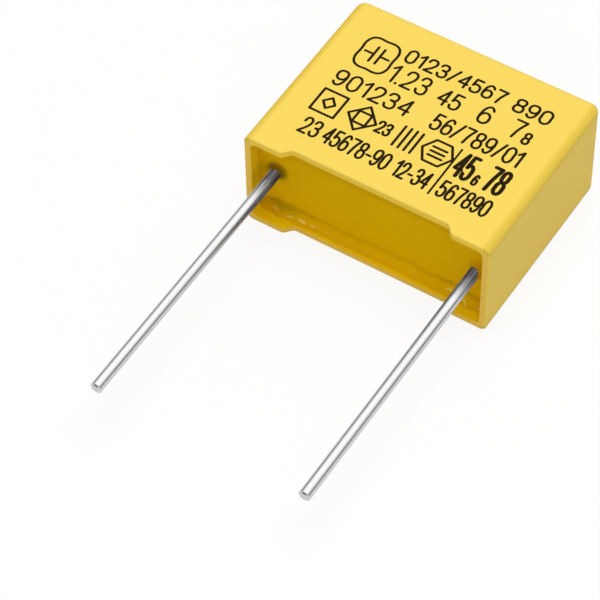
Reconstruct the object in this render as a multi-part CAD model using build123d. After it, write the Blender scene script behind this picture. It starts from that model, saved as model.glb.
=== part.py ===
from build123d import *
import os
from math import radians, tan

# Boxed polypropylene film capacitor with two straight wire leads, lying on its broad back face.
# X runs along the lead pitch, the leads point along -Y, and +Z is up through the front face.
# The origin is the middle of the back face. Lengths are in millimetres, angles in degrees.

# Case: one thin-walled moulding, open on the board side, with a foot at each end of its rim
case_height = 14.2
case_thickness = 8.0
rim_wall = 0.5
closed_wall = 0.6
cavity_draft = 0.5
broad_edge_radius = 0.5
closed_corner_radius = 0.7
cavity_edge_radius = 0.4
foot_length = 2.75
foot_height = 0.6
foot_ramp = 0.55
foot_blend = 0.35
rim_round = 0.1

# Leads: tinned wire, cut square, bonded side-on to the contacts
lead_pitch = 15.0
lead_to_case_end = 1.5
lead_diameter = 0.8
lead_reach = 19.0
lead_tip_round = 0.08
lead_bond_length = 6.5

# Film element: a roll pressed flat, with metal sprayed on both ends and a lead sunk in each
contact_thickness = 0.4
lead_sink = 0.1
weld_length = 4.0
weld_wall = 0.25

# Potting resin: fills the case round the element, short of the rim
resin_depth = 1.5
resin_cover = 1.6
resin_behind = 0.6
resin_beside = 0.35
meniscus_height = 0.45
meniscus_lip = 0.06
collar_height = 0.3

# Places that follow from the sizes above
case_length = lead_pitch + 2 * lead_to_case_end
board_side = -case_height / 2
closed_side = case_height / 2
mid_thickness = case_thickness / 2
recess_line = board_side + foot_height
cavity_depth = case_height - closed_wall
deepest_wall = rim_wall + cavity_depth * tan(radians(cavity_draft))
lead_radius = lead_diameter / 2
resin_line = board_side + resin_depth
element_low = resin_line + resin_cover
element_high = closed_side - closed_wall - resin_behind
element_height = element_high - element_low
element_middle = (element_low + element_high) / 2
element_thickness = case_thickness - 2 * (deepest_wall + resin_beside)
contact_face = lead_pitch / 2 - lead_radius + lead_sink
film_half_width = contact_face - contact_thickness
lead_end = element_low + lead_bond_length


def section(y, x=0.0):
    """A sketch plane across the case at one height, drawn in from the board side."""
    return Plane(origin=(x, y, mid_thickness), x_dir=(1, 0, 0), z_dir=(0, 1, 0))


# ---------------------------------------------------------------- case
def front_outline():
    """The moulding seen square on: round closed corners, a foot at each end, a recess between."""
    foot_edge = case_length / 2 - foot_length
    right_side = [
        (case_length / 2, closed_side),
        (case_length / 2, board_side),
        (foot_edge, board_side),
        (foot_edge - foot_ramp, recess_line),
    ]
    left_side = [(-x, y) for x, y in reversed(right_side)]
    outline = make_face(Polyline(*right_side, *left_side, close=True))
    foot_bends = outline.vertices().sort_by(lambda corner: abs(corner.X))[:4]
    outline = fillet(foot_bends, foot_blend)
    closed_corners = outline.vertices().group_by(Axis.Y)[-1]
    return fillet(closed_corners, closed_corner_radius)


def cavity(inset=0.0, depth=cavity_depth, floor_round=cavity_edge_radius):
    """The drafted hollow of the case from the board side, or a core that stands clear of its walls."""
    mouth = RectangleRounded(
        case_length - 2 * (rim_wall + inset),
        case_thickness - 2 * (rim_wall + inset),
        cavity_edge_radius,
    )
    core = extrude(section(board_side) * mouth, depth, taper=cavity_draft)
    return fillet(core.faces().sort_by(Axis.Y)[-1].edges(), floor_round)


def on_the_rim(face):
    """Whether a face of the case looks at the board: a foot, a ramp, a blend or the recess."""
    return face.center().Y < recess_line + rim_round and face.normal_at().Y < -0.1


def case():
    """One moulding: a softened block, its rim eased on the outside, and the drafted hollow."""
    block = extrude(front_outline(), case_thickness)
    flanks = block.faces().sort_by(Axis.Z)
    softened = [
        edge
        for edge in flanks[0].edges() + flanks[-1].edges()
        if edge.bounding_box().max.Y > recess_line + foot_blend
    ]
    block = fillet(softened, broad_edge_radius)
    rim = [face for face in block.faces() if on_the_rim(face)]
    rim_edges = [edge for edge in block.edges() if sum(edge in face.edges() for face in rim) == 1]
    return fillet(rim_edges, rim_round) - cavity()


# ---------------------------------------------------------------- leads
def lead(side):
    """A straight wire from its cut tip to its end on the contact; side is -1 or 1.

    The corner at the board side puts a line round the wire at the plane that its reach is given from.
    """
    tip = board_side - lead_reach
    half_section = Polyline(
        (0, lead_end),
        (0, tip),
        (lead_radius, tip),
        (lead_radius, board_side),
        (lead_radius, lead_end),
        close=True,
    )
    wire = revolve(make_face(half_section), Axis.Y, clean=False)
    wire = fillet(wire.edges().group_by(Axis.Y)[0], lead_tip_round)
    return Pos(side * lead_pitch / 2, 0, mid_thickness) * wire


# ---------------------------------------------------------------- film element
def rolled_layer(start, thickness):
    """A slice of the pressed roll's form, flat on two sides and round on two, from start along X."""
    across = Plane(origin=(start, element_middle, mid_thickness), x_dir=(0, 1, 0), z_dir=(1, 0, 0))
    return extrude(across * SlotOverall(element_height, element_thickness), thickness)


def film_winding():
    """All the turns of metallised film and the plain film round them, pressed into one tight roll."""
    return rolled_layer(-film_half_width, 2 * film_half_width)


def end_contact(side):
    """Sprayed metal over one end of the roll, heaped round the lead where it is welded in."""
    spray = rolled_layer(side * film_half_width, side * contact_thickness)
    weld_start = section(lead_end - weld_length, side * lead_pitch / 2)
    heap = extrude(weld_start * Circle(lead_radius + weld_wall), weld_length)
    heap &= rolled_layer(side * film_half_width, side * (lead_pitch / 2 - film_half_width))
    return spray + heap - lead(side)


# ---------------------------------------------------------------- potting resin
def wetted_collar(side):
    """The ring of resin drawn up round one lead, hollow like the edge of any wetted pool."""
    reach = lead_radius + meniscus_lip + collar_height
    ring = Pos(0, resin_line) * Rectangle(reach, collar_height, align=(Align.MIN, Align.MAX))
    hollow = Pos(reach, resin_line - collar_height) * Circle(collar_height)
    return Pos(side * lead_pitch / 2, 0, mid_thickness) * revolve(ring - hollow, Axis.Y)


def potting_resin(bedded):
    """The cured fill: the cavity's form up to a dished surface, less the parts bedded in it."""
    lip_line = resin_line - meniscus_height
    past_the_lip = extrude(section(board_side) * Rectangle(case_length, case_thickness), lip_line - board_side)
    air = cavity(meniscus_lip, resin_depth, meniscus_height - meniscus_lip)
    fill = cavity() - past_the_lip - air
    for side in (-1, 1):
        fill += wetted_collar(side)
    for piece in bedded:
        fill -= piece
    return fill


def build():
    """Every piece by its name."""
    element = {
        "film_winding": film_winding(),
        "end_contact_left": end_contact(-1),
        "end_contact_right": end_contact(1),
        "lead_left": lead(-1),
        "lead_right": lead(1),
    }
    return {"case": case(), "potting_resin": potting_resin(element.values()), **element}


os.makedirs("parts", exist_ok=True)
for node, shape in build().items():
    export_step(shape, f"parts/{node}.step")
    print(node, "solids", len(shape.solids()), "volume", round(shape.volume, 3))
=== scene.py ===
import bmesh
import bpy
import math
from mathutils import Matrix, Vector, noise
from mathutils.geometry import delaunay_2d_cdt


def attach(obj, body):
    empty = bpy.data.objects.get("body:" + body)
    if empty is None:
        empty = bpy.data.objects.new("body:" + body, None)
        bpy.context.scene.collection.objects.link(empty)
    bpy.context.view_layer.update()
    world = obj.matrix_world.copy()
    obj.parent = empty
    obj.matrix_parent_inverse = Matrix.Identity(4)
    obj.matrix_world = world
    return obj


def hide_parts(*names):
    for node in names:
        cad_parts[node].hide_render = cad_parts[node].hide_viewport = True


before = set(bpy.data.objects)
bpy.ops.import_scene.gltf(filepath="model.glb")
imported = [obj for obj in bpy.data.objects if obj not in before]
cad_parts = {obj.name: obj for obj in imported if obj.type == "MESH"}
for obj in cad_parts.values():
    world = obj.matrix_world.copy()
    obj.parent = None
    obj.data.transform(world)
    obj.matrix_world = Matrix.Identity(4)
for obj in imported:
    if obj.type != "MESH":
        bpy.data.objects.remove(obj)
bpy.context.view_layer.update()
mm = 0.001
scene = bpy.context.scene
scene.view_settings.view_transform = "Standard"

# ---------------------------------------------------------------- camera
# A long lens from in front, above and a little to the right of the open side.
# The part lies with its leads towards the viewer; the view takes in the whole of both.

camera_place = Vector((62.6, -109.3, 150.2)) * mm
camera_aim = Vector((-0.61, -13.74, 4.0)) * mm
camera_roll = math.radians(-1.32)
camera_lens = 179.4

camera = bpy.data.objects.new("camera", bpy.data.cameras.new("camera"))
camera.data.lens = camera_lens
camera.data.clip_start = 1 * mm
camera.location = camera_place
camera.rotation_mode = "QUATERNION"
sight = (camera_aim - camera_place).to_track_quat("-Z", "Y")
camera.rotation_quaternion = sight @ Matrix.Rotation(camera_roll, 3, "Z").to_quaternion()
scene.collection.objects.link(camera)
scene.camera = camera

# ---------------------------------------------------------------- studio
# A white table under a white sky. A large soft lamp hangs over the part, and a weak one stands in
# front. Neither shows in the polish of the wires: what draws the thin dark lines along them is a dim
# wall that stands all round, at the horizon.


class Signal:
    """One output socket of a node tree. Sums and products of signals and numbers add Math nodes."""

    def __init__(self, tree, socket=None):
        self.tree = tree
        self.socket = socket

    def node(self, kind, settings=(), inputs=(), output=0):
        """Add any node: its settings first, then the values or signals of its inputs."""
        made = self.tree.nodes.new(kind)
        for name, value in dict(settings).items():
            if name == "stops":
                set_stops(made.color_ramp, value)
            else:
                setattr(made, name, value)
        for name, value in dict(inputs).items():
            if isinstance(value, Signal):
                self.tree.links.new(value.socket, made.inputs[name])
            else:
                made.inputs[name].default_value = value
        return Signal(self.tree, made.outputs[output] if made.outputs else None)

    def math(self, operation, *values, clamp=False):
        return self.node(
            "ShaderNodeMath",
            {"operation": operation, "use_clamp": clamp},
            dict(enumerate(values)),
        )

    def mix(self, mask, first, second):
        """Blend two colours by a mask, where 1 gives the second."""
        return self.node(
            "ShaderNodeMix",
            {"data_type": "RGBA"},
            {0: mask, 6: first, 7: second},
            output=2,
        )

    def into(self, node, name):
        """Feed this signal to an input of a node that is already there."""
        self.tree.links.new(self.socket, node.inputs[name])

    def __add__(self, other):
        return self.math("ADD", self, other)

    def __sub__(self, other):
        return self.math("SUBTRACT", self, other)

    def __rsub__(self, other):
        return self.math("SUBTRACT", other, self)

    def __mul__(self, other):
        return self.math("MULTIPLY", self, other)

    def __abs__(self):
        return self.math("ABSOLUTE", self)

    __radd__ = __add__
    __rmul__ = __mul__


def set_stops(ramp, stops):
    """Give a colour ramp its stops, each a place from 0 to 1 and a colour."""
    while len(ramp.elements) < len(stops):
        ramp.elements.new(1.0)
    for element, (place, colour) in zip(ramp.elements, stops):
        element.position = place
        element.color = colour


def grey(level):
    return (level, level, level, 1.0)


sky_level = 0.50
mirrored_floor = 1.0
mirrored_wall = 0.20
mirrored_low_sky = 0.80
mirrored_sky = 0.82
mirrored_overhead = 1.12
table_grey = 0.64
table_reach = 0.6
table_shadow_share = 0.15
table_gloss_share = 0.1

world = bpy.data.worlds.new("studio")
scene.world = world
world.use_nodes = True
world.node_tree.nodes.clear()
sky = Signal(world.node_tree)
seen = sky.node("ShaderNodeLightPath", output="Is Camera Ray")
mirrored = sky.node("ShaderNodeLightPath", output="Is Glossy Ray")
through = sky.node("ShaderNodeLightPath", output="Is Transmission Ray")
direction = sky.node("ShaderNodeTexCoord", output=0)
height = sky.node("ShaderNodeSeparateXYZ", inputs={0: direction}, output=2)
panelled = sky.node(
    "ShaderNodeValToRGB",
    {
        "stops": [
            (0.0, grey(mirrored_floor)),
            (0.49, grey(mirrored_floor)),
            (0.52, grey(mirrored_wall)),
            (0.68, grey(mirrored_wall)),
            (0.75, grey(mirrored_low_sky)),
            (0.84, grey(mirrored_sky)),
            (0.89, grey(mirrored_overhead)),
            (1.0, grey(mirrored_overhead)),
        ]
    },
    {0: height * 0.5 + 0.5},
)
lit = sky.mix(mirrored, grey(sky_level), panelled)
shown = sky.mix(sky.math("MAXIMUM", seen, through), lit, grey(1.0))
background = sky.node("ShaderNodeBackground", inputs={"Color": shown, "Strength": 1.0})
sky.node("ShaderNodeOutputWorld", inputs={0: background})

table = bpy.data.objects.new("table", bpy.data.meshes.new("table"))
corners = [
    (x * table_reach, y * table_reach, 0.0) for x, y in ((-1, -1), (1, -1), (1, 1), (-1, 1))
]
table.data.from_pydata(corners, [], [(0, 1, 2, 3)])
scene.collection.objects.link(table)
white = bpy.data.materials.new("white_table")
white.use_nodes = True
white.node_tree.nodes.clear()
top = Signal(white.node_tree)
direct = top.math(
    "MAXIMUM",
    top.node("ShaderNodeLightPath", output="Is Camera Ray"),
    top.node("ShaderNodeLightPath", output="Is Transmission Ray"),
)
glossy = top.node("ShaderNodeLightPath", output="Is Glossy Ray")
share = direct * (1 - table_shadow_share) + glossy * table_gloss_share
paint = top.mix(direct, grey(table_grey), grey(1.0))
matt = top.node("ShaderNodeBsdfDiffuse", inputs={"Color": paint})
glow = top.node("ShaderNodeEmission", inputs={"Color": grey(1.0), "Strength": 1.0})
surface = top.node("ShaderNodeMixShader", inputs={0: share, 1: matt, 2: glow})
top.node("ShaderNodeOutputMaterial", inputs={0: surface})
table.data.materials.append(white)


def panel_light(name, place, size, power):
    """A square soft light that faces the part."""
    lamp = bpy.data.objects.new(name, bpy.data.lights.new(name, "AREA"))
    lamp.data.size = size
    lamp.data.energy = power
    lamp.location = place
    lamp.rotation_mode = "QUATERNION"
    lamp.visible_glossy = False
    lamp.rotation_quaternion = (-Vector(place)).to_track_quat("-Z", "Y")
    scene.collection.objects.link(lamp)


panel_light("overhead_panel", place=(0.02, 0.05, 0.45), size=0.30, power=0.95)
panel_light("front_panel", place=(0.15, -0.30, 0.25), size=0.25, power=0.25)

# ---------------------------------------------------------------- film winding
# The roll of metallised polypropylene film, pressed flat; it is bedded in resin and never seen.
# Its edge shows fine silver layers, one for each turn.

film_pale = (0.78, 0.78, 0.76, 1.0)
film_dark = (0.50, 0.50, 0.50, 1.0)
film_turn = 0.05 * mm
film_patch = 0.6 * mm
film_rough = (0.3, 0.5)
film_relief = 0.01 * mm
# At scale 1 the bands of a wave texture are 0.314 m apart.
wave_band = 0.314


class Finish(Signal):
    """A new material with one surface shader, ready for signals."""

    def __init__(self, name, **uniform):
        self.material = bpy.data.materials.new(name)
        self.material.use_nodes = True
        super().__init__(self.material.node_tree)
        self.surface = self.tree.nodes["Principled BSDF"]
        for socket, value in uniform.items():
            self.surface.inputs[socket.replace("_", " ")].default_value = value
        self.place = self.node("ShaderNodeTexCoord", output=3)

    def axes(self):
        """The place on the piece as three signals: across, along the leads, and up."""
        parts = self.node("ShaderNodeSeparateXYZ", inputs={0: self.place})
        return [Signal(self.tree, output) for output in parts.socket.node.outputs]

    def speckle(self, size, detail=2.0, stretch=(1, 1, 1)):
        """Soft noise from 0 to 1 whose features are about one size across."""
        spot = self.node("ShaderNodeMapping", inputs={"Vector": self.place, "Scale": stretch})
        return self.node(
            "ShaderNodeTexNoise", inputs={"Vector": spot, "Scale": 1 / size, "Detail": detail}
        )

    def fade(self, signal, start, end, before=0.0, after=1.0):
        """A soft step from one level to another as a signal goes from its start to its end."""
        return self.node(
            "ShaderNodeMapRange",
            {"interpolation_type": "SMOOTHSTEP"},
            {0: signal, 1: start, 2: end, 3: before, 4: after},
        )

    def between(self, mask, low, high):
        """A level that goes from low to high with a mask."""
        return mask * (high - low) + low

    def length(self, first, second):
        """How long a slanting line is that goes so far one way and so far the other."""
        return self.math("SQRT", first * first + second * second)

    def rough(self, signal):
        signal.into(self.surface, "Roughness")

    def colour(self, signal):
        signal.into(self.surface, "Base Color")

    def relief(self, signal, depth):
        """Bump of a given depth in metres."""
        bump = self.node("ShaderNodeBump", inputs={"Height": signal, "Distance": depth})
        bump.into(self.surface, "Normal")


def put_finish(piece, finish):
    """Give a piece one material in place of what it has."""
    piece.data.materials.clear()
    piece.data.materials.append(finish.material)


film = Finish("wound_film", Metallic=0.6)
layers = film.node(
    "ShaderNodeTexWave",
    {"bands_direction": "Z"},
    {"Vector": film.place, "Scale": wave_band / film_turn, "Distortion": 0.6},
    output=1,
)
film.colour(film.mix(layers, film_dark, film_pale))
film.rough(film.between(film.speckle(film_patch), *film_rough))
film.relief(layers, film_relief)
put_finish(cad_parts["film_winding"], film)

# ---------------------------------------------------------------- sprayed contacts
# Zinc sprayed on both ends of the roll, heaped round the lead where it is welded in.
# It is a dull grey, rough with the drops it is made of.

zinc_pale = (0.50, 0.50, 0.51, 1.0)
zinc_dark = (0.22, 0.22, 0.23, 1.0)
zinc_drop = 0.09 * mm
zinc_rough = (0.55, 0.85)
zinc_relief = 0.03 * mm

zinc = Finish("sprayed_zinc", Metallic=0.85)
drops = zinc.node(
    "ShaderNodeTexVoronoi", {"feature": "SMOOTH_F1"}, {"Vector": zinc.place, "Scale": 1 / zinc_drop}
)
zinc.colour(zinc.mix(drops, zinc_pale, zinc_dark))
zinc.rough(zinc.between(drops, *zinc_rough))
zinc.relief(drops, zinc_relief)
for end in ("left", "right"):
    put_finish(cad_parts[f"end_contact_{end}"], zinc)

# ---------------------------------------------------------------- leads
# Straight tinned copper wire, one welded side-on to each contact, cut off square with a small bevel.
# The tin is bright, with faint lines drawn along the wire. Towards the case its inner side is painted
# darker,
# a painted reflection of the case's shadow, and where it goes in it is a streaky grey, darkest at the
# root:
# partly the resin's stain and partly painted shade of the hollow.

lead_pitch = 15.0 * mm
lead_radius = 0.4 * mm
lead_tip = -26.1 * mm
lead_end = 2.5 * mm
lead_height = 4.0 * mm
chamfer_width = 0.12 * mm
chamfer_length = 0.085 * mm
lead_sides = 64
lead_rings = 56
tin_bright = (0.97, 0.97, 0.975, 1.0)
tin_dull = (0.80, 0.80, 0.81, 1.0)
tin_flank_painted_shade = (0.72, 0.72, 0.73, 1.0)
tin_stained_and_shaded = (0.38, 0.385, 0.41, 1.0)
tin_stained_shade_dark = (0.10, 0.10, 0.115, 1.0)
tin_line = 0.15 * mm
tin_rough = (0.12, 0.20)
tin_relief = 0.0006 * mm
flank_edge = (lead_pitch / 2 - 0.22 * mm, lead_pitch / 2 - 0.36 * mm)
flank_run = (-16.5 * mm, -11.0 * mm)
stain_and_shade_run = (-9.3 * mm, -6.6 * mm)
stain_rough = 0.12
stain_metal = 0.3
stain_streak = 0.13 * mm
streak_edge = (0.40, 0.60)
root_shade_run = (-7.3 * mm, -6.5 * mm)
root_shade_dark = 0.6


class Growth(Signal):
    """A geometry node tree with named inputs. It ends realised, smooth and with its material set."""

    def __init__(self, name, **inputs):
        tree = bpy.data.node_groups.new(name, "GeometryNodeTree")
        tree.interface.new_socket("Geometry", in_out="OUTPUT", socket_type="NodeSocketGeometry")
        tree.interface.new_socket("Geometry", in_out="INPUT", socket_type="NodeSocketGeometry")
        for label, kind in inputs.items():
            tree.interface.new_socket(label, in_out="INPUT", socket_type=f"NodeSocket{kind}")
        tree.interface.new_socket("Material", in_out="INPUT", socket_type="NodeSocketMaterial")
        super().__init__(tree)
        self.start = tree.nodes.new("NodeGroupInput")

    def given(self, label):
        """The signal of a named input."""
        return Signal(self.tree, self.start.outputs[label])

    def end(self, shape):
        """Turn a shape into one smooth mesh with the tree's material, and give it out."""
        whole = self.node("GeometryNodeRealizeInstances", inputs={0: shape})
        smooth = self.node("GeometryNodeSetShadeSmooth", inputs={0: whole})
        dressed = self.node(
            "GeometryNodeSetMaterial", inputs={0: smooth, "Material": self.given("Material")}
        )
        dressed.into(self.tree.nodes.new("NodeGroupOutput"), 0)

    def grow(self, name, finish, source=None, **values):
        """Run the tree once and keep what it makes as a plain mesh piece."""
        seed = bpy.data.objects.new(name, source or bpy.data.meshes.new(name))
        scene.collection.objects.link(seed)
        run = seed.modifiers.new("growth", "NODES")
        run.node_group = self.tree
        sockets = {item.name: item.identifier for item in self.tree.interface.items_tree}
        for label, value in values.items():
            run[sockets[label]] = value
        run[sockets["Material"]] = finish.material
        made = seed.evaluated_get(bpy.context.evaluated_depsgraph_get())
        plain = bpy.data.meshes.new_from_object(made)
        bpy.data.objects.remove(seed)
        piece = bpy.data.objects.new(name, plain)
        scene.collection.objects.link(piece)
        return piece


def sharpen(piece, degrees):
    """Keep smooth shading, but break it at edges that bend by more than this."""
    piece.data.set_sharp_from_angle(angle=math.radians(degrees))


wire = Growth(
    "drawn_wire",
    Start="Vector",
    End="Vector",
    Radius="Float",
    Chamfer_Width="Float",
    Chamfer_Length="Float",
    Sides="Int",
)
tip = wire.given("Start")
stop = wire.given("End")
radius = wire.given("Radius")
line = wire.node("GeometryNodeCurvePrimitiveLine", inputs={0: tip, 1: stop})
line = wire.node("GeometryNodeResampleCurve", inputs={"Curve": line, "Count": lead_rings})
# The rings stand closer together towards the tip, where the bevel needs them.
along = wire.node("GeometryNodeSplineParameter", output="Factor")
run = wire.node("ShaderNodeVectorMath", {"operation": "SUBTRACT"}, {0: stop, 1: tip})
run = wire.node(
    "ShaderNodeVectorMath", {"operation": "SCALE"}, {0: run, "Scale": along * along}
)
spot = wire.node("ShaderNodeVectorMath", {"operation": "ADD"}, {0: tip, 1: run})
line = wire.node("GeometryNodeSetPosition", inputs={0: line, "Position": spot})
from_tip = wire.node("GeometryNodeSplineParameter", output="Length")
cut_back = 1 - wire.math("DIVIDE", from_tip, wire.given("Chamfer_Length"), clamp=True)
lost = wire.math("DIVIDE", wire.given("Chamfer_Width"), radius) * cut_back
ring = wire.node(
    "GeometryNodeCurvePrimitiveCircle",
    inputs={"Resolution": wire.given("Sides"), "Radius": radius},
)
wire.end(
    wire.node(
        "GeometryNodeCurveToMesh",
        inputs={"Curve": line, "Profile Curve": ring, "Scale": 1 - lost, "Fill Caps": True},
    )
)

tin = Finish("tinned_wire", Metallic=1.0)
across, along, _ = tin.axes()
drawn = tin.speckle(tin_line, 1.5, (1, 0.005, 1))
streaks = tin.fade(tin.speckle(stain_streak, 2.0, (1, 0.06, 1)), *streak_edge)
# Painted shade: the inner flank is darkened towards the case, in place of the dark reflection of the
# case's shadow.
flank_painted_shade = tin.fade(abs(across), *flank_edge) * tin.fade(along, *flank_run)
# Near the case the tin is painted a streaky grey, partly resin stain and partly painted shade of the
# hollow; at the root it is painted nearly black, painted shade where the wire goes into the resin.
stain_and_shade = tin.fade(along, *stain_and_shade_run)
root = tin.fade(along, *root_shade_run, after=root_shade_dark)
clean = tin.mix(flank_painted_shade, tin.mix(drawn, tin_dull, tin_bright), tin_flank_painted_shade)
stained_and_shaded_tin = tin.mix(stain_and_shade, clean, tin.mix(streaks, tin_stained_shade_dark, tin_stained_and_shaded))
tin.colour(tin.mix(root, stained_and_shaded_tin, tin_stained_shade_dark))
tin.rough(tin.between(drawn, *tin_rough) + stain_and_shade * stain_rough)
(1 - stain_and_shade * stain_metal).into(tin.surface, "Metallic")
tin.relief(drawn, tin_relief)
wires = {}
for side, end in ((-1, "left"), (1, "right")):
    lead = wire.grow(
        f"wire_{end}",
        tin,
        Start=(side * lead_pitch / 2, lead_tip, lead_height),
        End=(side * lead_pitch / 2, lead_end, lead_height),
        Radius=lead_radius,
        Chamfer_Width=chamfer_width,
        Chamfer_Length=chamfer_length,
        Sides=lead_sides,
    )
    sharpen(lead, degrees=30)
    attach(lead, "root")
    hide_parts(f"lead_{end}")
    wires[end] = lead

# ---------------------------------------------------------------- case
# One thin moulding of filled polyester, open on the board side, with a foot at each end of its rim.
# Its skin is satin, with a very fine grain from the mould, and painted shade along the long rounded
# edges.
# Resin has wetted the inner walls, which are painted deep yellow, partly for the warm light bounced
# about the hollow, and the rim is tinted tan as painted warm bounce light.

case_yellow = (0.990, 0.725, 0.133, 1.0)
case_shade = (0.970, 0.702, 0.122, 1.0)
case_edge_painted_shade = (0.850, 0.602, 0.080, 1.0)
case_rim_bounce_tint = (0.975, 0.632, 0.104, 1.0)
case_long_rim_bounce_tint = (1.000, 0.690, 0.080, 1.0)
case_wetted_bounce_tint = (0.960, 0.640, 0.002, 1.0)
case_cloud = 4 * mm
case_grain = 0.07 * mm
case_rough = (0.34, 0.46)
case_relief = 0.003 * mm
case_half = (9.0 * mm, 4.0 * mm)
mouth_half = (8.5 * mm, 3.5 * mm)
mouth_corner = 0.4 * mm
hollow_end = 6.8 * mm
edge_width = (case_half[0] - 0.72 * mm, case_half[0] - 0.32 * mm)
edge_height = (case_half[1] - 0.70 * mm, case_half[1] - 0.35 * mm)
wetted_fade = 0.05 * mm
rim_fade = (-0.49 * mm, -0.32 * mm)
rim_depth = (-6.38 * mm, -6.46 * mm)

polyester = Finish("case", Specular_IOR_Level=0.05)
across, along, up = polyester.axes()
cloud = polyester.speckle(case_cloud, 3.0)
grain = polyester.speckle(case_grain, 3.0)
off_middle = abs(up - lead_height)
# Painted shade: the long rounded edges are darkened where they bend away from the light.
edge_painted_shade = polyester.fade(abs(across), *edge_width) * polyester.fade(off_middle, *edge_height)
bare = polyester.mix(edge_painted_shade, polyester.mix(cloud, case_shade, case_yellow), case_edge_painted_shade)
# How far a point is inside the hollow's outline, rounded corners and all; less than 0 is in the wall.
past_end = mouth_half[0] - abs(across)
past_face = mouth_half[1] - off_middle
short_end = polyester.math("MAXIMUM", mouth_corner - past_end, 0.0)
short_face = polyester.math("MAXIMUM", mouth_corner - past_face, 0.0)
past_wall = mouth_corner - polyester.length(short_end, short_face)
on_rim = polyester.fade(past_wall, *rim_fade) * polyester.fade(along, *rim_depth)
in_front = polyester.math("GREATER_THAN", up - lead_height, mouth_half[1])
between_ends = polyester.math("GREATER_THAN", past_end, 0.0)
# Painted bounce light: the rim is tinted a warmer tan, the long rim of the upper wall apart from the
# rest, in place of light thrown back by the yellow case.
rim_bounce_tint = polyester.mix(in_front * between_ends, case_rim_bounce_tint, case_long_rim_bounce_tint)
dry = polyester.mix(on_rim, bare, rim_bounce_tint)
# The inner walls are wetted by resin, and their deep yellow is also painted bounce light, for the warm
# light thrown about inside the hollow.
wetted_and_tinted = polyester.fade(past_wall, -wetted_fade, 0.0)
inside = polyester.math("LESS_THAN", along, hollow_end)
polyester.colour(polyester.mix(wetted_and_tinted * inside, dry, case_wetted_bounce_tint))
polyester.rough(polyester.between(grain, *case_rough))
polyester.relief(grain, case_relief)
put_finish(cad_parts["case"], polyester)
# Only the room shows in the polish of the wires, so their edges stay a neutral grey.
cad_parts["case"].visible_glossy = False

# ---------------------------------------------------------------- potting resin
# Filled resin poured over the element and cured: it climbs unevenly up the walls and the leads, with
# a bridge from the right lead to the end wall, and its pool has sunk slightly in the middle as it
# shrank. The element's own form is left hollow.

board_side = -7.1 * mm
resin_level = -5.6 * mm
resin_bottom = 6.5 * mm
resin_climb = 0.80 * mm
resin_creep = 0.45 * mm
climb_mean = 0.86
climb_spread = 0.22
climb_wander = 1.3 * mm
climb_slice = 3.0 * mm
collar_reach = 0.30 * mm
collar_climb = {-1: 0.42 * mm, 1: 0.69 * mm}
collar_bite = 0.012 * mm
collar_sides = 48
collar_inner_steps = [-0.2, -0.03]
wall_draft = math.tan(math.radians(0.5))
floor_corner = 0.4 * mm
pool_sag = 0.10 * mm
pool_ripple = 0.025 * mm
ripple_length = 2.6 * mm
pool_flat_start = 0.6
pool_grid = 0.35 * mm
grid_margin = 1.1
corner_steps = 6
wall_levels = (-3.0 * mm, 2.0 * mm)
floor_turns = (0, 20, 40, 60, 75, 90)
same_point = 1e-7
# Where resin has run up the walls: place across and up, reach, and height, all in mm.
wall_runs = [
    (-6.95, -3.2, 0.75, 0.26),
    (-5.9, -3.3, 0.55, 0.20),
    (7.2, -3.3, 0.9, 0.22),
    (8.1, -0.15, 0.8, 0.6),
    (-8.1, -2.6, 0.6, 0.2),
]


def wall_inset(y):
    """How far the drafted wall has drawn in at one height."""
    return (y - board_side) * wall_draft


pool_inset = wall_inset(resin_level)
pool_half = (mouth_half[0] - pool_inset, mouth_half[1] - pool_inset)
pool_corner = mouth_corner - pool_inset


def pool_depth(across, up):
    """How far a point of the pool is from the nearest wall."""
    past_x = abs(across) - pool_half[0] + pool_corner
    past_z = abs(up) - pool_half[1] + pool_corner
    outside = math.hypot(max(past_x, 0.0), max(past_z, 0.0))
    return pool_corner - outside - min(max(past_x, past_z), 0.0)


def climb(distance, reach, height):
    """Height of a liquid edge that leaves a wall along a quarter ellipse."""
    left = min(max(1 - distance / reach, 0.0), 1.0)
    return height * (1 - math.sqrt(1 - left * left))


def pool_surface(across, up):
    """How far along the leads the resin's surface lies at one place, seen from the board."""
    inset = pool_depth(across, up)
    wander = noise.noise(Vector((across, up, climb_slice)) / climb_wander)
    rise = climb(inset, resin_creep, resin_climb * (climb_mean + climb_spread * wander))
    for side in (-1, 1):
        clear = math.hypot(across - side * lead_pitch / 2, up) - lead_radius + collar_bite
        rise = max(rise, climb(clear, collar_reach, collar_climb[side]))
    for x, z, reach, height in wall_runs:
        near = 1 - math.hypot(across / mm - x, up / mm - z) / reach
        near = max(near, 0.0)
        rise += height * mm * near**2 * (3 - 2 * near)
    flat = min(max(inset / resin_creep - pool_flat_start, 0.0), 1.0)
    dish = (1 - (across / pool_half[0]) ** 2) * (1 - (up / pool_half[1]) ** 2)
    ripple = noise.noise(Vector((across, up, 0.0)) / ripple_length)
    return resin_level - rise + flat * (pool_sag * dish + pool_ripple * ripple)


def drawn_in(spot, inset):
    """Where a point of the wall goes when the wall's rounded outline is drawn in by an inset."""
    corner = max(mouth_corner - inset, 0.0)
    middle = Vector(
        min(max(value, inset + corner - half), half - inset - corner)
        for value, half in zip(spot, mouth_half)
    )
    away = Vector(spot) - middle
    return middle + away.normalized() * corner


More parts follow.
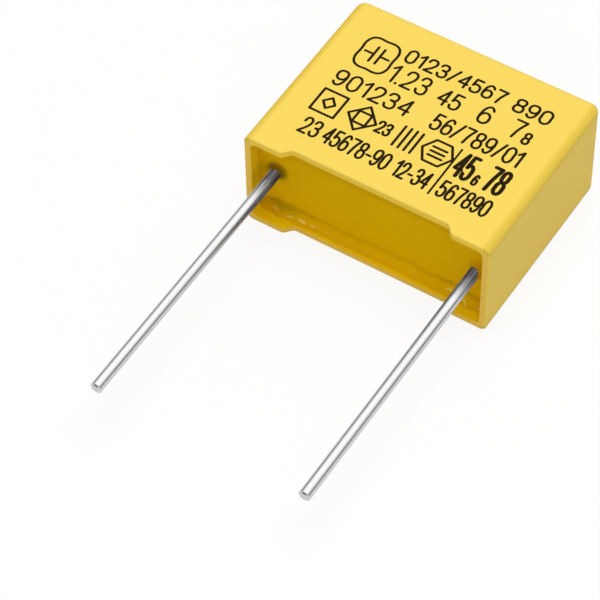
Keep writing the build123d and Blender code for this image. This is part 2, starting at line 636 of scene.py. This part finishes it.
def mouth_outline():
    """Points round the case's hollow at its mouth, close together at the corners."""
    outline = []
    core = [half - mouth_corner for half in mouth_half]
    for quarter, (right, up) in enumerate(((1, 1), (-1, 1), (-1, -1), (1, -1))):
        centre = Vector((right * core[0], up * core[1]))
        for step in range(corner_steps + 1):
            turn = math.pi / 2 * (quarter + step / corner_steps)
            outline.append(centre + mouth_corner * Vector((math.cos(turn), math.sin(turn))))
    filled = []
    for here, there in zip(outline, outline[1:] + outline[:1]):
        pieces = max(1, round((there - here).length / pool_grid))
        filled += [here.lerp(there, step / pieces) for step in range(pieces)]
    return filled


climb_angles = (5, 10, 16, 23, 31, 40, 50, 62, 75, 90)
climb_steps = [1 - math.cos(math.radians(angle)) for angle in climb_angles]
mouth = mouth_outline()
loops = []
for step in [0.0] + climb_steps:
    loops.append([drawn_in(spot, pool_inset + resin_creep * step) for spot in mouth])
turns = [math.tau * step / collar_sides for step in range(collar_sides)]
# Each collar starts just inside its wire, so that the wire cuts it off cleanly.
for side in (-1, 1):
    middle = Vector((side * lead_pitch / 2, 0.0))
    for step in collar_inner_steps + climb_steps:
        radius = lead_radius + collar_reach * step
        loops.append([middle + radius * Vector((math.cos(turn), math.sin(turn))) for turn in turns])
points = []
edges = []
for loop in loops:
    first = len(points)
    after = loop[1:] + loop[:1]
    kept = [here for here, there in zip(loop, after) if (here - there).length > same_point]
    points += kept
    edges += [(first + step, first + (step + 1) % len(kept)) for step in range(len(kept))]
columns = int(pool_half[0] / pool_grid)
rows_up = int(pool_half[1] / pool_grid)
for column in range(-columns, columns + 1):
    for row in range(-rows_up, rows_up + 1):
        spot = Vector((column * pool_grid, row * pool_grid))
        near_lead = math.hypot(abs(spot.x) - lead_pitch / 2, spot.y) - lead_radius
        if pool_depth(*spot) > resin_creep * grid_margin and near_lead > collar_reach * grid_margin:
            points.append(spot)
spread = delaunay_2d_cdt([spot / mm for spot in points], edges, [], 1, 1e-6)
pool = bmesh.new()
skin = []
for spot in spread[0]:
    across, up = spot * mm
    skin.append(pool.verts.new((across, pool_surface(across, up), lead_height + up)))
for face in spread[2]:
    pool.faces.new([skin[index] for index in face])
rim = {source: skin[index] for index, sources in enumerate(spread[3]) for source in sources}
ring = [rim[index] for index in range(len(mouth))]
for point, spot in zip(ring, mouth):
    edge = drawn_in(spot, wall_inset(point.co.y))
    point.co.x = edge.x
    point.co.z = lead_height + edge.y
levels = [(y, 0.0) for y in wall_levels]
for angle in floor_turns:
    turn = math.radians(angle)
    levels.append(
        (resin_bottom - floor_corner * (1 - math.sin(turn)), floor_corner * (1 - math.cos(turn)))
    )
for y, floor_inset in levels:
    below = []
    for spot in mouth:
        edge = drawn_in(spot, wall_inset(y) + floor_inset)
        below.append(pool.verts.new((edge.x, y, lead_height + edge.y)))
    for index in range(len(ring)):
        after = (index + 1) % len(ring)
        pool.faces.new((ring[index], ring[after], below[after], below[index]))
    ring = below
pool.faces.new(ring)
bmesh.ops.remove_doubles(pool, verts=pool.verts, dist=1e-8)
bmesh.ops.recalc_face_normals(pool, faces=pool.faces)
resin = bpy.data.objects.new("resin_fill", bpy.data.meshes.new("resin_fill"))
scene.collection.objects.link(resin)
pool.to_mesh(resin.data)
pool.free()


def merged_copy(node):
    """A closed copy of a CAD node, its doubled edge points joined."""
    copy = bpy.data.objects.new(node + "_form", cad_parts[node].data.copy())
    scene.collection.objects.link(copy)
    form = bmesh.new()
    form.from_mesh(copy.data)
    bmesh.ops.remove_doubles(form, verts=form.verts, dist=same_point)
    form.to_mesh(copy.data)
    form.free()
    return copy


def carve(piece, cutters):
    """Cut solids out of a piece, and keep only the largest shell of what is left."""
    for cutter in cutters:
        cut = piece.modifiers.new("cut", "BOOLEAN")
        cut.operation = "DIFFERENCE"
        cut.solver = "EXACT"
        cut.object = cutter
    made = piece.evaluated_get(bpy.context.evaluated_depsgraph_get())
    piece.data = bpy.data.meshes.new_from_object(made)
    piece.modifiers.clear()
    form = bmesh.new()
    form.from_mesh(piece.data)
    left = set(form.faces)
    shells = []
    while left:
        shell = set()
        front = [left.pop()]
        while front:
            face = front.pop()
            shell.add(face)
            for edge in face.edges:
                for other in edge.link_faces:
                    if other in left:
                        left.remove(other)
                        front.append(other)
        shells.append(shell)
    shells.sort(key=len)
    crumbs = [face for shell in shells[:-1] for face in shell]
    bmesh.ops.delete(form, geom=crumbs, context="FACES")
    for face in form.faces:
        face.smooth = True
    form.to_mesh(piece.data)
    form.free()


bedded = [merged_copy(node) for node in ("film_winding", "end_contact_left", "end_contact_right")]
carve(resin, bedded + [wires["left"], wires["right"]])
for form in bedded:
    bpy.data.objects.remove(form)
sharpen(resin, degrees=35)

resin_amber = (0.880, 0.530, 0.001, 1.0)
resin_deep = (0.800, 0.472, 0.000, 1.0)
resin_painted_glint = (1.0, 0.80, 0.15, 1.0)
resin_painted_shade = (0.200, 0.115, 0.003, 1.0)
resin_cloud = 2.5 * mm
resin_patch = 0.4 * mm
resin_rough = (0.12, 0.20)
lead_shadow_reach = 0.60 * mm
lead_shadow_share = {-1: 0.94, 1: 0.26}
lead_shadow_drop = 0.22 * mm
left_shade_place = (-7.2 * mm, 0.98 * mm)
left_shade_stretch = 4
left_shade_fade = (0.64 * mm, 0.06 * mm)
left_shade_share = 0.5
front_shade = (1.50 * mm, 1.95 * mm)
front_share = 0.12
low_edge = (1.9 * mm, 1.3 * mm)
glint_line_height = 0.28 * mm
glint_line_fade = (0.05 * mm, 0.01 * mm)
shade_line_height = 0.72 * mm
shade_line_fade = (0.34 * mm, 0.0)
shade_line_share = 0.16
shade_line_least = 0.8
shade_line_more = 1.2
wander_length = 1.6 * mm
wander_height = 0.6 * mm
glint_length = 0.9 * mm
glint_edge = (0.54, 0.64)
glint_share = 0.85
near_ends = (4.2 * mm, 5.2 * mm)
middle_share = 0.12

amber = Finish("potting_resin", Specular_IOR_Level=0.01)
across, _, up = amber.axes()
cloud = amber.speckle(resin_cloud, 2.0)
off_centre = abs(across)
on_right = amber.math("GREATER_THAN", across, 0.0)
# Painted shadow: the resin is darkened round each lead, and more so round the left one, as the contact
# shadow where the wire goes in.
over_lead = up - lead_height + on_right * lead_shadow_drop
from_lead = amber.length(off_centre - lead_pitch / 2, over_lead)
less_lead_shadow = on_right * (lead_shadow_share[-1] - lead_shadow_share[1])
lead_painted_shadow = amber.fade(from_lead, lead_radius + lead_shadow_reach, lead_radius)
lead_painted_shadow = lead_painted_shadow * (lead_shadow_share[-1] - less_lead_shadow)
# Painted shade: a long soft dark patch low at the left, where the resin meets the wall that the part
# lies on.
beside = (across - left_shade_place[0]) * (1 / left_shade_stretch)
low_left_painted_shade = amber.fade(amber.length(beside, up - left_shade_place[1]), *left_shade_fade, after=left_shade_share)
shaded = amber.fade(up - lead_height, *front_shade, after=front_share)
# Low down, where the resin climbs the wall that the part lies on, a thin painted highlight runs along
# it, broken into glints, with a line of painted shade above, as if of a fold.
low = amber.fade(up, *low_edge)
ends = amber.fade(off_centre, *near_ends, before=middle_share)
wander = amber.speckle(wander_length, 2.0, (1, 0.05, 0.05)) * wander_height
glint_line = amber.fade(abs(up - wander - glint_line_height), *glint_line_fade)
# Painted shade: a soft dark line above the glints, standing in for the shadow of a fold that is not
# modelled.
shade_line = amber.fade(abs(up - wander - shade_line_height), *shade_line_fade, after=shade_line_share)
patches = amber.speckle(glint_length, 1.0, (1, 1, 0.2))
broken = amber.fade(patches, *glint_edge, after=glint_share)
low_painted_shade = low * shade_line * (1 - glint_line) * (ends * shade_line_more + shade_line_least)
dark = amber.math("MAXIMUM", lead_painted_shadow, low_left_painted_shade)
dark = amber.math("MAXIMUM", dark, shaded)
dark = amber.math("MAXIMUM", dark, low_painted_shade)
cured = amber.mix(cloud, resin_deep, resin_amber)
glinted = amber.mix(low * glint_line * broken * ends, cured, resin_painted_glint)
amber.colour(amber.mix(dark, glinted, resin_painted_shade))
amber.rough(amber.between(amber.speckle(resin_patch), *resin_rough))
resin.visible_glossy = False
put_finish(resin, amber)
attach(resin, "root")
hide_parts("potting_resin")

# ---------------------------------------------------------------- marking
# Printing ink on the front face: dark brown, and standing a hair proud of the moulding.
# The digits only count up, and the signs are plain shapes.

ink_face = 8.0 * mm
ink_height = 0.012 * mm
ink_stroke = 0.185 * mm
ink_heavy = 1.5
ink_brown = (0.015, 0.009, 0.004, 1.0)
ink_worn = (0.030, 0.018, 0.008, 1.0)
ink_patch = 0.5 * mm
ink_rough = (0.50, 0.60)
nib_sides = 10
cap_sides = 12
cap_rings = 6
bend_steps = 5
glyph_gap = 0.45
glyph_widths = {"1": 0.55, "/": 0.75, "-": 0.6, ".": 0.05}


def angular(*points):
    """Straight strokes from corner to corner."""
    return [list(pair) for pair in zip(points, points[1:])]


six = [
    (0.93, 0.84), (0.76, 0.96), (0.52, 1), (0.2, 0.87), (0.03, 0.55), (0.02, 0.28), (0.16, 0.06),
    (0.5, 0), (0.86, 0.07), (1, 0.3), (0.86, 0.53), (0.52, 0.6), (0.2, 0.52), (0.03, 0.34),
]
glyphs = {
    "0": [
        [(0.5, 1), (0.92, 0.86), (1, 0.5), (0.92, 0.14), (0.5, 0), (0.08, 0.14), (0, 0.5), (0.08, 0.86),
         (0.5, 1)],
    ],
    "1": angular((0, 0.76), (0.9, 1), (0.9, 0)),
    "2": [
        [(0.03, 0.72), (0.16, 0.93), (0.5, 1), (0.87, 0.92), (0.96, 0.72), (0.78, 0.47), (0, 0)],
        [(0, 0), (1, 0)],
    ],
    "3": [
        [(0.05, 0.8), (0.22, 0.96), (0.5, 1), (0.84, 0.93), (0.94, 0.76), (0.8, 0.58), (0.4, 0.54)],
        [(0.4, 0.54), (0.82, 0.49), (1, 0.28), (0.86, 0.06), (0.5, 0), (0.18, 0.05), (0.02, 0.22)],
    ],
    "4": angular((0.78, 0), (0.78, 1), (0, 0.3), (1, 0.3)),
    "5": [
        *angular((0.92, 1), (0.15, 1), (0.06, 0.5)),
        [(0.06, 0.5), (0.3, 0.62), (0.58, 0.62), (0.9, 0.52), (1, 0.31), (0.87, 0.08), (0.48, 0),
         (0.14, 0.05), (0, 0.21)],
    ],
    "6": [six],
    "7": [[(0, 1), (1, 1)], [(1, 1), (0.62, 0.52), (0.42, 0)]],
    "8": [
        [(0.5, 1), (0.86, 0.93), (0.93, 0.76), (0.82, 0.59), (0.5, 0.53), (0.18, 0.59), (0.07, 0.76),
         (0.14, 0.93), (0.5, 1)],
        [(0.5, 0.53), (0.88, 0.45), (0.99, 0.27), (0.87, 0.07), (0.5, 0), (0.13, 0.07), (0.01, 0.27),
         (0.12, 0.45), (0.5, 0.53)],
    ],
    "9": [[(1 - x, 1 - y) for x, y in six]],
    "/": [[(0, 0), (1, 1)]],
    "-": [[(0, 0.42), (1, 0.42)]],
    ".": [[(0, 0), (0, 0.03)]],
}
# Each row of print: its text, left, right, top and bottom in mm, and the weight of its strokes.
rows = [
    ("0123/4567", -3.80, 3.55, 4.88, 3.60, 1.0),
    ("890", 4.20, 6.94, 4.88, 3.60, 1.0),
    ("1.23", -3.95, -1.05, 3.28, 1.62, 1.0),
    ("45", -0.25, 1.40, 3.10, 1.62, 1.0),
    ("6", 2.70, 3.60, 3.28, 1.62, 1.0),
    ("7", 5.00, 5.90, 3.28, 1.62, 1.0),
    ("8", 6.05, 6.65, 2.60, 1.50, 1.0),
    ("901234", -6.80, -1.09, 1.05, -0.44, 1.0),
    ("56/789/01", 0.48, 7.01, 1.05, -0.44, 1.0),
    ("23", -2.30, -1.20, -1.35, -2.50, 1.0),
    ("45", 3.55, 4.95, -0.85, -3.08, ink_heavy),
    ("6", 5.10, 5.55, -2.10, -3.10, 1.0),
    ("78", 5.80, 7.25, -0.85, -3.08, ink_heavy),
    ("23", -6.45, -5.05, -3.50, -5.00, 1.0),
    ("45678-90", -4.75, 0.05, -3.50, -5.00, 1.0),
    ("12-34", 0.45, 3.00, -3.50, -5.00, 1.0),
    ("567890", 3.66, 7.32, -3.50, -5.00, 1.0),
]
strokes = []
for text, left, right, high, low, weight in rows:
    inset = weight * ink_stroke / mm / 2
    widths = [glyph_widths.get(letter, 1.0) for letter in text]
    unit = (right - left - 2 * inset) / (sum(widths) + glyph_gap * (len(text) - 1))
    rise = high - low - 2 * inset
    reach = left + inset
    for letter, width in zip(text, widths):
        for stroke in glyphs[letter]:
            placed = [(reach + x * width * unit, low + inset + y * rise) for x, y in stroke]
            strokes.append((placed, weight))
        reach += (width + glyph_gap) * unit


def sign(centre, size, weight, *shapes):
    """Place shapes drawn in a box from -1 to 1."""
    for shape in shapes:
        for stroke in shape:
            placed = [(centre[0] + x * size[0] / 2, centre[1] + y * size[1] / 2) for x, y in stroke]
            strokes.append((placed, weight))


square = angular((-1, -1), (1, -1), (1, 1), (-1, 1), (-1, -1))
soft_square = [
    [(0, 1), (0.7, 0.97), (0.97, 0.7), (1, 0), (0.97, -0.7), (0.7, -0.97), (0, -1), (-0.7, -0.97),
     (-0.97, -0.7), (-1, 0), (-0.97, 0.7), (-0.7, 0.97), (0, 1)]
]
plates = angular((-0.75, 0), (-0.2, 0)) + angular((0.2, 0), (0.75, 0))
plates += angular((-0.2, 0.5), (-0.2, -0.5)) + angular((0.2, 0.5), (0.2, -0.5))
lozenge = angular((0, 1), (1, 0), (0, -1), (-1, 0), (0, 1))
small_lozenge = [[(x * 0.5, y * 0.5) for x, y in stroke] for stroke in lozenge]
small_square = [[(x * 0.45, y * 0.45) for x, y in stroke] for stroke in square]
bars = [stroke for x in (-1, -0.33, 0.33, 1) for stroke in angular((x, -1), (x, 1))]
hexagon = angular((-1, 0), (-0.5, 1), (0.5, 1), (1, 0), (0.5, -1), (-0.5, -1), (-1, 0))
stripes = [stroke for y in (-0.4, 0, 0.4) for stroke in angular((-0.45, y), (0.45, y))]
sign((-5.42, 3.18), (2.35, 2.75), 1.0, soft_square, plates)
sign((-5.85, -1.93), (1.75, 1.95), 1.0, square, small_lozenge)
sign((-3.38, -1.93), (2.05, 2.20), 1.0, lozenge, small_square)
sign((0.00, -1.93), (1.30, 1.80), 1.0, bars)
sign((2.17, -1.93), (2.20, 1.90), 1.0, hexagon, stripes)
sign((3.35, -2.96), (0.1, 4.20), 0.8, angular((0, -1), (0, 1)))

print_lines = bpy.data.curves.new("print_lines", "CURVE")
print_lines.dimensions = "3D"
print_lines.resolution_u = bend_steps
for stroke, weight in strokes:
    closed = len(stroke) > 2 and stroke[0] == stroke[-1]
    spots = stroke[:-1] if closed else stroke
    spline = print_lines.splines.new("BEZIER")
    spline.bezier_points.add(len(spots) - 1)
    spline.use_cyclic_u = closed
    for point, (x, y) in zip(spline.bezier_points, spots):
        point.co = (x * mm, y * mm, ink_face)
        point.radius = weight
    for point in spline.bezier_points:
        point.handle_left_type = "AUTO"
        point.handle_right_type = "AUTO"

pen = Growth("inked_lines", Stroke="Float", Height="Float", Face="Float")
lines = pen.given("Geometry")
half = pen.given("Stroke") * 0.5
weight = pen.node("GeometryNodeInputRadius")
nib = pen.node(
    "GeometryNodeCurvePrimitiveCircle", inputs={"Resolution": nib_sides, "Radius": half}
)
tube = pen.node(
    "GeometryNodeCurveToMesh",
    inputs={"Curve": lines, "Profile Curve": nib, "Scale": weight, "Fill Caps": True},
)
ends = pen.node("GeometryNodeCurveEndpointSelection", inputs={0: 1, 1: 1})
ball = pen.node(
    "GeometryNodeMeshUVSphere",
    inputs={"Segments": cap_sides, "Rings": cap_rings, "Radius": half},
)
caps = pen.node(
    "GeometryNodeInstanceOnPoints",
    inputs={"Points": lines, "Selection": ends, "Instance": ball, "Scale": weight},
)
both = pen.node("GeometryNodeJoinGeometry")
tube.into(both.socket.node, 0)
caps.into(both.socket.node, 0)
ink = pen.node("GeometryNodeRealizeInstances", inputs={0: both})
place = pen.node("GeometryNodeInputPosition")
level = pen.node("ShaderNodeSeparateXYZ", inputs={0: place}, output=2) - pen.given("Face")
press = level * (pen.math("DIVIDE", pen.given("Height"), half) - 1)
shift = pen.node("ShaderNodeCombineXYZ", inputs={2: press})
pen.end(pen.node("GeometryNodeSetPosition", inputs={0: ink, "Offset": shift}))

brown = Finish("marking_ink", Specular_IOR_Level=0.03)
patch = brown.speckle(ink_patch, 2.0)
brown.colour(brown.mix(patch, ink_brown, ink_worn))
brown.rough(brown.between(patch, *ink_rough))
marking = pen.grow(
    "marking", brown, print_lines, Stroke=ink_stroke, Height=ink_height, Face=ink_face
)
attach(marking, "root")
